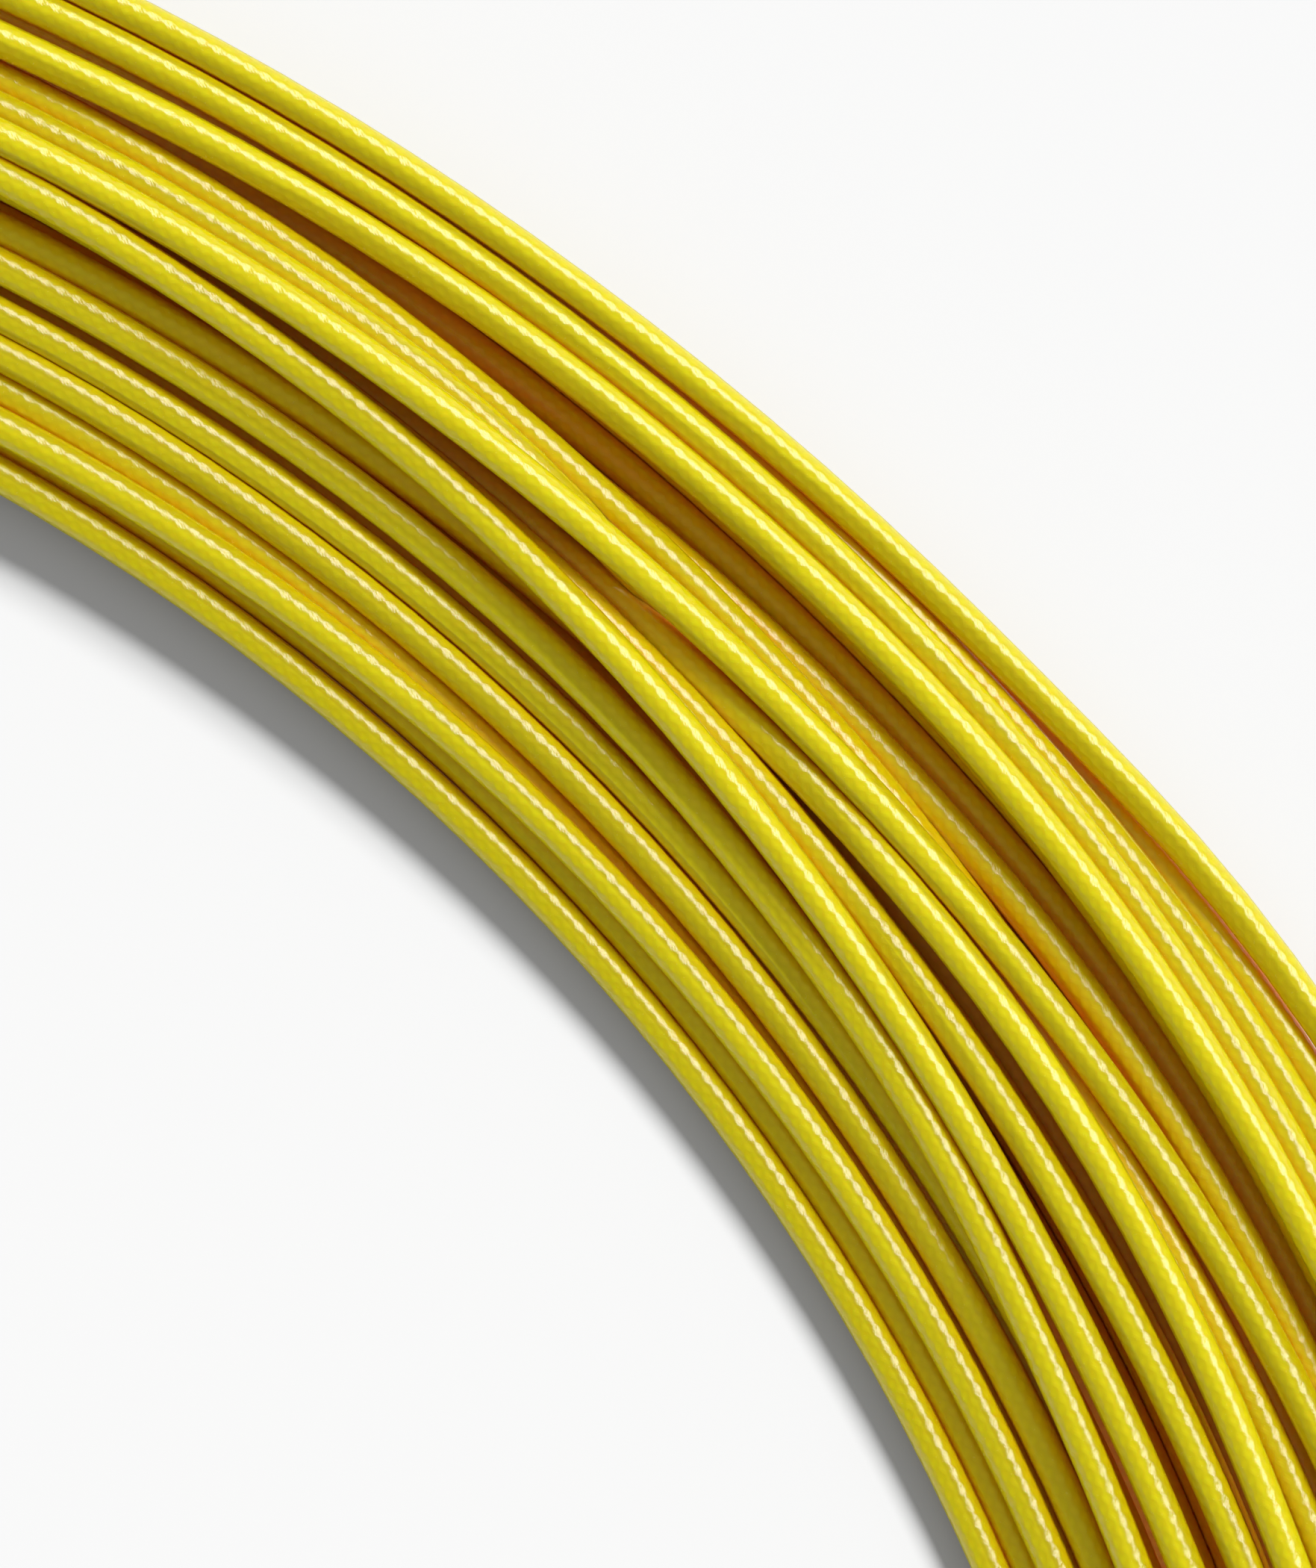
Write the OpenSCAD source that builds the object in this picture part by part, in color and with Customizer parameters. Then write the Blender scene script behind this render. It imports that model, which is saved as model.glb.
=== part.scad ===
// Racket string wound in a round coil and held by two wire ties.
// The coil lies flat: Z is the coil's axis, and z = 0 is the surface that it rests on.

/* [String] */
// Diameter of the coated string
string_d = 0.7; // [0.6:0.02:0.8]
// Diameter of the multifilament core inside the braided jacket
core_d = 0.38; // [0.3:0.02:0.46]
// Length of the cut tip at each free end
tip_len = 3; // [2:0.5:6]

/* [Coil] */
// Radius of the middle of the bundle
coil_r = 51; // [46:0.5:60]
// Layers in the pile
layers = 4; // [2:2:4]
// Loops in each layer
loops_per_layer = 6; // [3:1:6]
// Clear gap between neighbouring loops under a tie
tied_gap = 0.43; // [0.42:0.01:0.6]
// Clear gap between the lanes of one layer where the bundle fans out
fanned_gap = 1.25; // [0.8:0.05:1.5]
// Bearing of the first tie, where the string starts and ends
tie_bearing = 295; // [270:5:300]

/* [Ties] */
// Width of the plastic ribbon
ribbon_w = 3.2; // [2.6:0.2:4]
// Thickness of the ribbon beside its wire
ribbon_t = 0.3; // [0.24:0.02:0.4]
// Diameter of the steel wire in the ribbon
wire_d = 0.45; // [0.35:0.05:0.6]
// Thickness of the plastic round the wire
wire_cover = 0.1; // [0.08:0.02:0.16]
// Clearance between a tie and the loops inside it
tie_clearance = 0.3; // [0.25:0.05:0.5]
// Outer corner radius of a tie
tie_corner_r = 1.3; // [1.1:0.1:1.5]
// Length of the twisted ends of a tie
pigtail_len = 10; // [6:1:12]
// Turns in the twisted ends
pigtail_turns = 2.5; // [1:0.5:3]

/* [Hidden] */
$fn = 48;

STRING_COLOUR = [0.80, 0.74, 0.10];
CORE_COLOUR = [0.93, 0.91, 0.82];
RIBBON_COLOUR = [0.93, 0.93, 0.91];
WIRE_COLOUR = [0.62, 0.63, 0.65];

// The coil: rings and sides of the tube that stands for the string.
RINGS = 24;
COIL_SIDES = 6;
TAIL_SIDES = 8;
loops = layers * loops_per_layer;
coil_flat_r = string_d / 2 * cos(180 / COIL_SIDES);
tied_pitch = string_d + tied_gap;
fanned_pitch = string_d + fanned_gap;

// The ties: the wire lies just under the ribbon's outer face and swells its inner face.
RIBBON_SKIN = 0.03;
TWIST_SQUEEZE = 0.05;
TWIST_STEPS = 8;
// How far the straight root of the twisted ends reaches into the wall that they leave, and out
// of it.
TWIST_ROOT = 0.1;
bulge_r = wire_d / 2 + wire_cover;
wire_depth = bulge_r + RIBBON_SKIN;
tie_wall = wire_depth + bulge_r;
tied_bundle_w = loops_per_layer * tied_pitch + string_d;
tied_bundle_h = (layers - 1) * tied_pitch + string_d;

// Between two rings the tube cuts this far inside its true circle. A tie that slips along the
// bundle has that much more room on its inner side.
chord_cut = (coil_r - tied_bundle_w / 2) * (1 - cos(180 / RINGS));
tie_w = tied_bundle_w + chord_cut + 2 * (tie_clearance + tie_wall);
tie_h = tied_bundle_h + 2 * (tie_clearance + tie_wall);
tie_r = coil_r - chord_cut / 2;

// Sine of the angle from a tie within which the bundle keeps one section, so that the tie can
// slip along it, and of the angle past which the bundle lies on the floor.
TIED_SIN = 0.26;
LANDED_SIN = 0.65;
// How late the bundle fans out between the ties.
FAN_POWER = 1.5;

// Routes of the free ends past the first tie. Each point gives the way along the bundle, the
// way out from the outermost loop, and the height, from 0 on the floor to 1 at the coil's end.
LEAD_ROUTE = [[2, 0, 1], [4, 0, 1], [6, 0, 1], [8, 0, 1], [10, 0.1, 0.9], [12, 0.3, 0.7],
    [14, 0.5, 0.5], [16, 0.8, 0.3], [18, 1.1, 0.1], [20, 1.4, 0], [22, 1.7, 0], [24, 2, 0],
    [26, 2.3, 0], [28, 2.6, 0], [30, 2.9, 0], [32, 3.1, 0], [34, 3.3, 0]];
END_ROUTE = [[2, 0, 1], [4, 0, 1], [6, 0, 1], [8, 0.1, 1], [10, 0.3, 0.98], [12, 0.6, 0.94],
    [14, 0.9, 0.88], [16, 1.2, 0.8], [18, 1.5, 0.7], [20, 1.7, 0.59], [22, 1.9, 0.48],
    [24, 2.1, 0.37], [26, 2.3, 0.26], [28, 2.5, 0.16], [30, 2.7, 0.08], [32, 2.9, 0.03],
    [34, 3.1, 0], [36, 3.3, 0], [38, 3.5, 0]];

function unit(v) = v / norm(v);
function share(v, low, high) = min(1, max(0, (v - low) / (high - low)));
function smooth(s) = s * s * (3 - 2 * s);
function tie_sine(bearing) = abs(sin(bearing - tie_bearing));

// Lane that the string runs in after a number of loops, from 0 outermost to loops_per_layer
// innermost. Each layer crosses the bundle at a steady rate, and the next layer comes back.
function lane(turned) =
    let (done = floor(turned / loops_per_layer), part = turned - done * loops_per_layer)
    done % 2 == 0 ? part : loops_per_layer - part;

// Layer that it runs in: it climbs one layer in the half turn about each reversal.
function layer(turned) =
    let (k = min(layers - 1, max(1, round(turned / loops_per_layer))))
    k - 1 + smooth(share(turned - k * loops_per_layer, -0.25, 0.25));

// Distance between lanes, and height of the bundle's underside, round the coil.
function pitch(bearing) =
    tied_pitch + (fanned_pitch - tied_pitch)
    * pow(share(tie_sine(bearing), TIED_SIN, 1), FAN_POWER);
function bed(bearing) =
    (tie_wall + tie_clearance) * (1 - smooth(share(tie_sine(bearing), TIED_SIN, LANDED_SIN)));

// Height from layer to layer. Where the lanes of two layers lie between each other, the upper
// layer sinks between them, as far as the gap between the loops allows.
function rise(bearing) =
    let (twice = (bearing - tie_bearing) / 180,
         offset = 0.5 - abs(twice - floor(twice) - 0.5))
    sqrt(max(pow(tied_pitch, 2) - pow(offset * pitch(bearing), 2), pow(tied_pitch / 2, 2)));

function around(bearing, r, z) = [r * cos(bearing), r * sin(bearing), z];
function coil_point(turned) =
    let (bearing = tie_bearing + 360 * turned)
    around(bearing,
           coil_r + (loops_per_layer / 2 - lane(turned)) * pitch(bearing),
           bed(bearing) + coil_flat_r + layer(turned) * rise(bearing));
coil_points = [for (i = [0 : RINGS * loops]) coil_point(i / RINGS)];
coil_start = coil_points[0];
coil_end = coil_points[RINGS * loops];

// The string meets a radial plane square at both ends of the coil, and runs straight there.
along = [-sin(tie_bearing), cos(tie_bearing), 0];
coil_path = concat([coil_start, coil_start + string_d * along],
                   [for (i = [1 : RINGS * loops - 1]) coil_points[i]],
                   [coil_end - string_d * along, coil_end]);

// Least gap between the coil and itself, half a turn or more apart, measured on its points.
least_gap = min([for (i = [0 : len(coil_points) - 1 - RINGS / 2])
    min([for (j = [i + RINGS / 2 : len(coil_points) - 1])
        norm(coil_points[i] - coil_points[j])])]) - string_d;
function path_length(path) =
    let (steps = [for (i = [1 : len(path) - 1]) norm(path[i] - path[i - 1])])
    steps * [for (s = steps) 1];
echo(least_gap = least_gap, loops = loops, coil_length = path_length(coil_path));

// Path of a free end. way is -1 against the winding and 1 with it.
function tail_path(route, from, way) =
    let (end_r = norm([from.x, from.y]))
    concat([from, from + way * string_d * along],
           [for (p = route)
               around(tie_bearing + way * p[0] / end_r * 180 / PI,
                      end_r + p[1],
                      string_d / 2 + p[2] * (from.z - string_d / 2))]);
lead_path = tail_path(LEAD_ROUTE, coil_start, -1);
end_path = tail_path(END_ROUTE, coil_end, 1);
echo(lead_length = path_length(lead_path), end_length = path_length(end_path));

// String swept along a path, with flat sides below and above.
module string_tube(path, sides) {
    last = len(path) - 1;
    ring = function(i)
        let (way = unit(path[min(i + 1, last)] - path[max(i - 1, 0)]),
             side = unit(cross(way, [0, 0, 1])),
             up = cross(side, way))
        [for (k = [0 : sides - 1])
            let (a = 360 * (k + 0.5) / sides - 90)
            path[i] + string_d / 2 * (cos(a) * side + sin(a) * up)];
    vertices = [for (i = [0 : last]) each ring(i)];
    faces = [
        for (k = [1 : sides - 2]) [0, k + 1, k],
        for (i = [0 : last - 1], k = [0 : sides - 1])
            let (a = i * sides + k, b = i * sides + (k + 1) % sides)
            each [[a, b, b + sides], [a, b + sides, a + sides]],
        for (k = [1 : sides - 2]) [last * sides, last * sides + k, last * sides + k + 1]
    ];
    polyhedron(vertices, faces);
}

// Places its children at the end of a path, pointing the way that the path runs.
module at_end(path) {
    way = unit(path[len(path) - 1] - path[len(path) - 2]);
    translate(path[len(path) - 1]) rotate([0, acos(way.z), atan2(way.y, way.x)]) children();
}

// Braided jacket at a cut end, and the filament core that shows inside it.
module tip_jacket() {
    color(STRING_COLOUR) difference() {
        cylinder(d = string_d, h = tip_len);
        translate([0, 0, -1]) cylinder(d = core_d, h = tip_len + 2);
    }
}

module tip_core() {
    color(CORE_COLOUR) cylinder(d = core_d, h = tip_len);
}

module rounded_rectangle(w, h, r) {
    square([w - 2 * r, h], center = true);
    square([w, h - 2 * r], center = true);
    for (x = [-1, 1], y = [-1, 1])
        translate([x * (w / 2 - r), y * (h / 2 - r)]) circle(r);
}

// Round bar bent to the closed path of the wire in a tie, in the XY plane.
module wire_loop(bar_r) {
    w = tie_w - 2 * wire_depth;
    h = tie_h - 2 * wire_depth;
    bend_r = tie_corner_r - wire_depth;
    for (s = [-1, 1]) {
        translate([bend_r - w / 2, s * h / 2, 0]) rotate([0, 90, 0])
            cylinder(r = bar_r, h = w - 2 * bend_r);
        translate([s * w / 2, h / 2 - bend_r, 0]) rotate([90, 0, 0])
            cylinder(r = bar_r, h = h - 2 * bend_r);
    }
    for (quarter = [0 : 3])
        translate([(quarter == 0 || quarter == 3 ? 1 : -1) * (w / 2 - bend_r),
                   (quarter < 2 ? 1 : -1) * (h / 2 - bend_r), 0])
            rotate([0, 0, 90 * quarter])
                rotate_extrude(angle = 90) translate([bend_r, 0]) circle(bar_r);
}

// Where the two wire ends leave the loop side by side, and how far apart they lie.
wire_pair = 2 * bulge_r - TWIST_SQUEEZE;
module at_wire_ends() {
    for (s = [-1, 1]) translate([tie_w / 2 - wire_depth, s * wire_pair / 2, 0])
        rotate([0, 90, 0]) children();
}

// Draws a flat section out of the tie's outer wall, straight at its root and then twisted.
module twist_out() {
    translate([tie_w / 2 - TWIST_ROOT, 0, 0]) rotate([90, 0, 90]) {
        linear_extrude(height = 2 * TWIST_ROOT) children();
        translate([0, 0, 2 * TWIST_ROOT])
            linear_extrude(height = pigtail_len - TWIST_ROOT, twist = -360 * pigtail_turns,
                           slices = TWIST_STEPS * pigtail_turns, $fn = 12)
                children();
    }
}

module ribbon_pair() {
    difference() {
        union() {
            for (s = [-1, 1]) {
                translate([s * (wire_pair / 2 + wire_depth - ribbon_t / 2), 0])
                    square([ribbon_t, ribbon_w], center = true);
                translate([s * wire_pair / 2, 0]) circle(bulge_r, $fn = 12);
            }
        }
        wire_end_pair();
    }
}

module wire_end_pair() {
    for (s = [-1, 1]) translate([s * wire_pair / 2, 0]) circle(d = wire_d, $fn = 8);
}

// Puts a tie, drawn in the XY plane, upright round the bundle at its bearing.
module place_tie(number) {
    rotate([0, 0, tie_bearing + 180 * (number - 1)]) translate([tie_r, 0, tie_h / 2])
        rotate([90, 0, 0]) children();
}

module tie_strip(number) {
    color(RIBBON_COLOUR) place_tie(number) difference() {
        union() {
            linear_extrude(height = ribbon_w, center = true) difference() {
                rounded_rectangle(tie_w, tie_h, tie_corner_r);
                rounded_rectangle(tie_w - 2 * ribbon_t, tie_h - 2 * ribbon_t,
                                  tie_corner_r - ribbon_t);
            }
            wire_loop(bulge_r);
            twist_out() ribbon_pair();
        }
        wire_loop(wire_d / 2);
        at_wire_ends() cylinder(d = wire_d, h = wire_depth);
    }
}

module tie_wire(number) {
    color(WIRE_COLOUR) place_tie(number) {
        wire_loop(wire_d / 2);
        at_wire_ends() cylinder(d = wire_d, h = wire_depth);
        twist_out() wire_end_pair();
    }
}

module string_coil() { color(STRING_COLOUR) string_tube(coil_path, COIL_SIDES); }
module lead_tail() { color(STRING_COLOUR) string_tube(lead_path, TAIL_SIDES); }
module lead_tip_jacket() { at_end(lead_path) tip_jacket(); }
module lead_tip_core() { at_end(lead_path) tip_core(); }
module end_tail() { color(STRING_COLOUR) string_tube(end_path, TAIL_SIDES); }
module end_tip_jacket() { at_end(end_path) tip_jacket(); }
module end_tip_core() { at_end(end_path) tip_core(); }

string_coil();
lead_tail();
lead_tip_jacket();
lead_tip_core();
end_tail();
end_tip_jacket();
end_tip_core();
tie_strip(1);  // tie_1_strip
tie_wire(1);  // tie_1_wire
tie_strip(2);  // tie_2_strip
tie_wire(2);  // tie_2_wire
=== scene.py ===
import bpy
import math
import numpy as np
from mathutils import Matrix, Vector


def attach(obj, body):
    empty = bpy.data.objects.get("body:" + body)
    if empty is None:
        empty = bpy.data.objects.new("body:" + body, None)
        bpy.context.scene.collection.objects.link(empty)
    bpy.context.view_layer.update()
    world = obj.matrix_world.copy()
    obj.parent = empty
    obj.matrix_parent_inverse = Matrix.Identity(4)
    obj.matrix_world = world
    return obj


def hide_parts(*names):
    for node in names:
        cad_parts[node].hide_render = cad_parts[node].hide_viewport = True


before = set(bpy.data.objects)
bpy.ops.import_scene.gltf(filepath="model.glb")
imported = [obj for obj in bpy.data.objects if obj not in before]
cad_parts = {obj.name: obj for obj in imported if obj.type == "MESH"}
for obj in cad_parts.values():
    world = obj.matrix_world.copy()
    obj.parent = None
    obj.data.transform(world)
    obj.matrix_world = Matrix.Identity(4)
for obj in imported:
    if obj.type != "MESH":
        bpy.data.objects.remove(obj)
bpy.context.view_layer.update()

# ---- Camera ----
# It looks straight down on the upper right stretch of the coil, from far enough away that the
# strands hardly lean. The frame is 1763 x 2100 pixels, so the lens is set by its height.
bpy.ops.object.select_all(action="DESELECT")
WATCHED = Vector((0.03534, 0.03378, 0.0007))
WATCHED_HEIGHT = 0.030625
STAND_OFF = 0.25
SENSOR = 36
bpy.ops.object.camera_add(location=WATCHED + Vector((0, 0, STAND_OFF)), rotation=(0, 0, 0))
camera = bpy.context.object
camera.name = "camera"
camera.data.sensor_width = SENSOR
camera.data.lens = SENSOR * STAND_OFF / WATCHED_HEIGHT
camera.data.clip_start = 0.01
camera.data.dof.use_dof = False
bpy.context.scene.camera = camera

# ---- Free ends of the string ----
# The last 35 and 40 mm of the string at either end of the coil: a nylon filament core under a
# braided, clear-coated jacket. Both leave the bundle under the first tie and settle on the table.
GAUGE = 0.0007
LAY = 0.0028
YARNS, STRIPES_IN_YARN = 8, 4
COAT_WAVER, WEAVE_RELIEF, COAT_GRAIN = 0.000013, 0.000007, 0.000005
DYE, GROOVE_COLOUR, WORN_DYE = (0.69, 0.62, 0.002, 1), (0.50, 0.42, 0.002, 1), (0.64, 0.61, 0.004, 1)
TIE_BEARING = 295.0
COIL_START = Vector((0.0229862, -0.0492941, 0.00128311))
COIL_END = Vector((0.0229862, -0.0492941, 0.00467311))
LEAD_ROUTE = [[2, 0, 1], [4, 0, 1], [6, 0, 1], [8, 0, 1], [10, 0.1, 0.9], [12, 0.3, 0.7],
    [14, 0.5, 0.5], [16, 0.8, 0.3], [18, 1.1, 0.1], [20, 1.4, 0], [22, 1.7, 0], [24, 2, 0],
    [26, 2.3, 0], [28, 2.6, 0], [30, 2.9, 0], [32, 3.1, 0], [34, 3.3, 0]]
END_ROUTE = [[2, 0, 1], [4, 0, 1], [6, 0, 1], [8, 0.1, 1], [10, 0.3, 0.98], [12, 0.6, 0.94],
    [14, 0.9, 0.88], [16, 1.2, 0.8], [18, 1.5, 0.7], [20, 1.7, 0.59], [22, 1.9, 0.48],
    [24, 2.1, 0.37], [26, 2.3, 0.26], [28, 2.5, 0.16], [30, 2.7, 0.08], [32, 2.9, 0.03],
    [34, 3.1, 0], [36, 3.3, 0], [38, 3.5, 0]]


def free_route(route, start, way):
    """Points of a free end, from millimetres along the bundle, out of it, and share of height."""
    reach = math.hypot(start.x, start.y)
    along = Vector((-math.sin(math.radians(TIE_BEARING)), math.cos(math.radians(TIE_BEARING)), 0))
    points = [start, start + way * GAUGE * along]
    for onward, outward, height in route:
        bearing = math.radians(TIE_BEARING) + way * onward / 1000 / reach
        r = reach + outward / 1000
        points.append(Vector((r * math.cos(bearing), r * math.sin(bearing),
                              GAUGE / 2 + height * (start.z - GAUGE / 2))))
    return points


def rounded(points, steps):
    """The same route with steps times as many points, on one smooth curve through them."""
    p = np.array(points, float)
    p = np.concatenate([[2 * p[0] - p[1]], p, [2 * p[-1] - p[-2]]])
    out = []
    for i in range(1, len(p) - 2):
        for s in np.arange(steps) / steps:
            out.append(0.5 * (2 * p[i] + s * (p[i + 1] - p[i - 1])
                              + s * s * (2 * p[i - 1] - 5 * p[i] + 4 * p[i + 1] - p[i + 2])
                              + s ** 3 * (3 * p[i] - p[i - 1] - 3 * p[i + 1] + p[i + 2])))
    return np.array(out + [p[-2]])


def string_object(name, centre, sides):
    """Round string along the centre points. Its UV map runs round it, and along it by lays."""
    count = len(centre)
    way = np.gradient(centre, axis=0)
    way /= np.linalg.norm(way, axis=1)[:, None]
    side = np.cross(way, [0.0, 0.0, 1.0])
    side /= np.linalg.norm(side, axis=1)[:, None]
    up = np.cross(side, way)
    turn = np.arange(sides) * 2 * math.pi / sides
    skin = centre[:, None, :] + GAUGE / 2 * (np.cos(turn)[None, :, None] * side[:, None, :]
                                             + np.sin(turn)[None, :, None] * up[:, None, :])
    i, k = np.meshgrid(np.arange(count - 1), np.arange(sides), indexing="ij")
    k1 = (k + 1) % sides
    quads = np.stack([i * sides + k, i * sides + k1, (i + 1) * sides + k1, (i + 1) * sides + k], -1)
    quads = quads.reshape(-1, 4)
    mesh = bpy.data.meshes.new(name)
    mesh.vertices.add(count * sides)
    mesh.vertices.foreach_set("co", skin.reshape(-1))
    mesh.loops.add(4 * len(quads) + 2 * sides)
    caps = np.concatenate([np.arange(sides)[::-1], (count - 1) * sides + np.arange(sides)])
    mesh.loops.foreach_set("vertex_index", np.concatenate([quads.reshape(-1), caps]))
    mesh.polygons.add(len(quads) + 2)
    starts = np.append(4 * np.arange(len(quads) + 1), 4 * len(quads) + sides)
    mesh.polygons.foreach_set("loop_start", starts)
    far = np.append(0, np.cumsum(np.linalg.norm(np.diff(centre, axis=0), axis=1))) / LAY
    u = np.stack([k, k + 1, k + 1, k], -1) / sides
    v = np.stack([far[i], far[i], far[i + 1], far[i + 1]], -1)
    uv = np.concatenate([np.stack([u, v], -1).reshape(-1, 2),
                         np.stack([caps % sides / sides, far[caps // sides]], -1)])
    mesh.uv_layers.new(name="laid").data.foreach_set("uv", uv.reshape(-1))
    mesh.update(calc_edges=True)
    mesh.validate()
    mesh.polygons.foreach_set("use_smooth", np.ones(len(mesh.polygons), bool))
    piece = bpy.data.objects.new(name, mesh)
    bpy.context.scene.collection.objects.link(piece)
    return piece


def maths(tree, operation, *values):
    """Adds a math node fed by sockets or numbers, and gives its result."""
    node = tree.nodes.new("ShaderNodeMath")
    node.operation = operation
    for socket, value in zip(node.inputs, values):
        if isinstance(value, (int, float)):
            socket.default_value = value
        else:
            tree.links.new(value, socket)
    return node.outputs[0]


def noise(tree, place, scale, detail):
    """Adds noise that reads the coordinates given, and gives its value."""
    node = tree.nodes.new("ShaderNodeTexNoise")
    node.inputs["Scale"].default_value = scale
    node.inputs["Detail"].default_value = detail
    tree.links.new(place, node.inputs["Vector"])
    return node.outputs[0]


def mixed_colour(tree, share, first, second):
    """Adds a mix of two colours, fed by sockets or plain colours, and gives its result."""
    node = tree.nodes.new("ShaderNodeMix")
    node.data_type = "RGBA"
    tree.links.new(share, node.inputs[0])
    for socket, colour in ((node.inputs[6], first), (node.inputs[7], second)):
        if isinstance(colour, tuple):
            socket.default_value = colour
        else:
            tree.links.new(colour, socket)
    return node.outputs[2]


def bumped(tree, layers):
    """Adds a bump for each height and distance, one on another, and gives the last normal."""
    normal = None
    for height, distance in layers:
        bump = tree.nodes.new("ShaderNodeBump")
        bump.inputs["Distance"].default_value = distance
        tree.links.new(height, bump.inputs["Height"])
        if normal:
            tree.links.new(normal, bump.inputs["Normal"])
        normal = bump.outputs[0]
    return normal


# Jacket braid: eight flat yarns each way, one over and one under, each a bunch of filaments.
braid = bpy.data.node_groups.new("jacket_braid", "ShaderNodeTree")
braid.interface.new_socket("Laid", in_out="INPUT", socket_type="NodeSocketVector")
braid.interface.new_socket("Yarns", in_out="INPUT", socket_type="NodeSocketFloat")
for name in ("Relief", "Groove"):
    braid.interface.new_socket(name, in_out="OUTPUT", socket_type="NodeSocketFloat")
entry = braid.nodes.new("NodeGroupInput")
result = braid.nodes.new("NodeGroupOutput")
split = braid.nodes.new("ShaderNodeSeparateXYZ")
braid.links.new(entry.outputs["Laid"], split.inputs[0])
around = maths(braid, "MULTIPLY", split.outputs[0], entry.outputs["Yarns"])
onward = maths(braid, "MULTIPLY", split.outputs[1], entry.outputs["Yarns"])
right, left = maths(braid, "ADD", around, onward), maths(braid, "SUBTRACT", around, onward)
crowns, strips = [], []
for hand in (right, left):
    wave = maths(braid, "SINE", maths(braid, "MULTIPLY", hand, math.pi))
    crowns.append(maths(braid, "ABSOLUTE", wave))
    stripe = maths(braid, "MULTIPLY", hand, STRIPES_IN_YARN * 2 * math.pi)
    strips.append(maths(braid, "SINE", stripe))
over = maths(braid, "MODULO", maths(braid, "ADD", maths(braid, "FLOOR", right),
                                    maths(braid, "FLOOR", left)), 2.0)
over = maths(braid, "ABSOLUTE", over)
humps = []
for mine, other, strip in ((crowns[0], crowns[1], strips[0]),
                           (crowns[1], crowns[0], strips[1])):
    hump = maths(braid, "MULTIPLY", maths(braid, "MULTIPLY", mine, mine), other)
    humps.append(maths(braid, "MULTIPLY_ADD", strip, 0.05, hump))
mixed = braid.nodes.new("ShaderNodeMix")
braid.links.new(over, mixed.inputs[0])
braid.links.new(humps[0], mixed.inputs[2])
braid.links.new(humps[1], mixed.inputs[3])
yarn = braid.nodes.new("ShaderNodeCombineXYZ")
braid.links.new(maths(braid, "FLOOR", right), yarn.inputs[0])
braid.links.new(maths(braid, "FLOOR", left), yarn.inputs[1])
speck = braid.nodes.new("ShaderNodeTexWhiteNoise")
braid.links.new(yarn.outputs[0], speck.inputs["Vector"])
# no two crossings stand up alike
relief = maths(braid, "MULTIPLY", mixed.outputs[0],
               maths(braid, "MULTIPLY_ADD", speck.outputs["Value"], 0.9, 0.4))
braid.links.new(relief, result.inputs["Relief"])
braid.links.new(maths(braid, "SUBTRACT", 1.0, mixed.outputs[0]), result.inputs["Groove"])


def string_material(name, with_painted_shade):
    """Bright yellow jacket. With painted shade, the colour is darker and orange-brown where other
    loops hide the sky, and lighter on open tops.
    """
    material = bpy.data.materials.new(name)
    material.use_nodes = True
    tree = material.node_tree
    skin = tree.nodes["Principled BSDF"]
    laid = tree.nodes.new("ShaderNodeUVMap")
    laid.uv_map = "laid"
    weave = tree.nodes.new("ShaderNodeGroup")
    weave.name = "weave"
    weave.node_tree = braid
    weave.inputs["Yarns"].default_value = YARNS
    tree.links.new(laid.outputs[0], weave.inputs["Laid"])
    place = tree.nodes.new("ShaderNodeTexCoord").outputs["Object"]
    grain = noise(tree, place, 12000, 3)
    drift = noise(tree, place, 160, 2)
    # colour, darker in the grooves of the braid and uneven along the string
    colour = mixed_colour(tree, maths(tree, "MULTIPLY", weave.outputs["Groove"], 0.25),
                          DYE, GROOVE_COLOUR)
    colour = mixed_colour(tree, maths(tree, "MULTIPLY", drift, 0.25), colour, WORN_DYE)
    if with_painted_shade:
        # painted shade: by the openness attribute, the colour turns darker and orange-brown where
        # other loops hide the sky
        reach = tree.nodes.new("ShaderNodeAttribute")
        reach.attribute_name = "openness"
        painted_shade_ramp = tree.nodes.new("ShaderNodeValToRGB")
        stops = painted_shade_ramp.color_ramp.elements
        # painted light: the stops also lighten the colour on half-hidden flanks and on fully open
        # tops
        stops[0].color, stops[1].color = (1.35, 0.54, 0.0, 1), (1.06, 1.04, 1.0, 1)
        for at, shade in ((0.15, (1.2, 0.63, 0.1, 1)), (0.35, (1.12, 0.84, 0.3, 1)),
                          (0.65, (0.98, 0.87, 0.3, 1)), (0.9, (0.80, 0.75, 0.4, 1)),
                          (0.97, (1.0, 0.98, 0.9, 1))):
            stops.new(at).color = shade
        tree.links.new(reach.outputs["Fac"], painted_shade_ramp.inputs[0])
        lit = tree.nodes.new("ShaderNodeMix")
        lit.data_type = "RGBA"
        lit.blend_type = "MULTIPLY"
        lit.inputs[0].default_value = 1.0
        tree.links.new(colour, lit.inputs[6])
        tree.links.new(painted_shade_ramp.outputs[0], lit.inputs[7])
        colour = lit.outputs[2]
    tree.links.new(colour, skin.inputs["Base Color"])
    rough = maths(tree, "MULTIPLY_ADD", grain, 0.12, 0.19)
    if with_painted_shade:
        hidden = maths(tree, "MULTIPLY_ADD", reach.outputs["Fac"], -2.0, 0.5)
        rough = maths(tree, "ADD", rough, maths(tree, "MAXIMUM", hidden, 0.0))
    tree.links.new(rough, skin.inputs["Roughness"])
    skin.inputs["IOR"].default_value = 1.5
    skin.inputs["Specular IOR Level"].default_value = 0.75
    skin.inputs["Subsurface Weight"].default_value = 1.0
    skin.inputs["Subsurface Radius"].default_value = (1.0, 0.6, 0.03)
    skin.inputs["Subsurface Scale"].default_value = 0.00028
    # the coat dips and swells a little over the braid, and carries fine specks
    waver = noise(tree, place, 2600, 2)
    normal = bumped(tree, ((waver, COAT_WAVER), (weave.outputs["Relief"], WEAVE_RELIEF),
                           (grain, COAT_GRAIN)))
    tree.links.new(normal, skin.inputs["Normal"])
    return material


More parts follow.
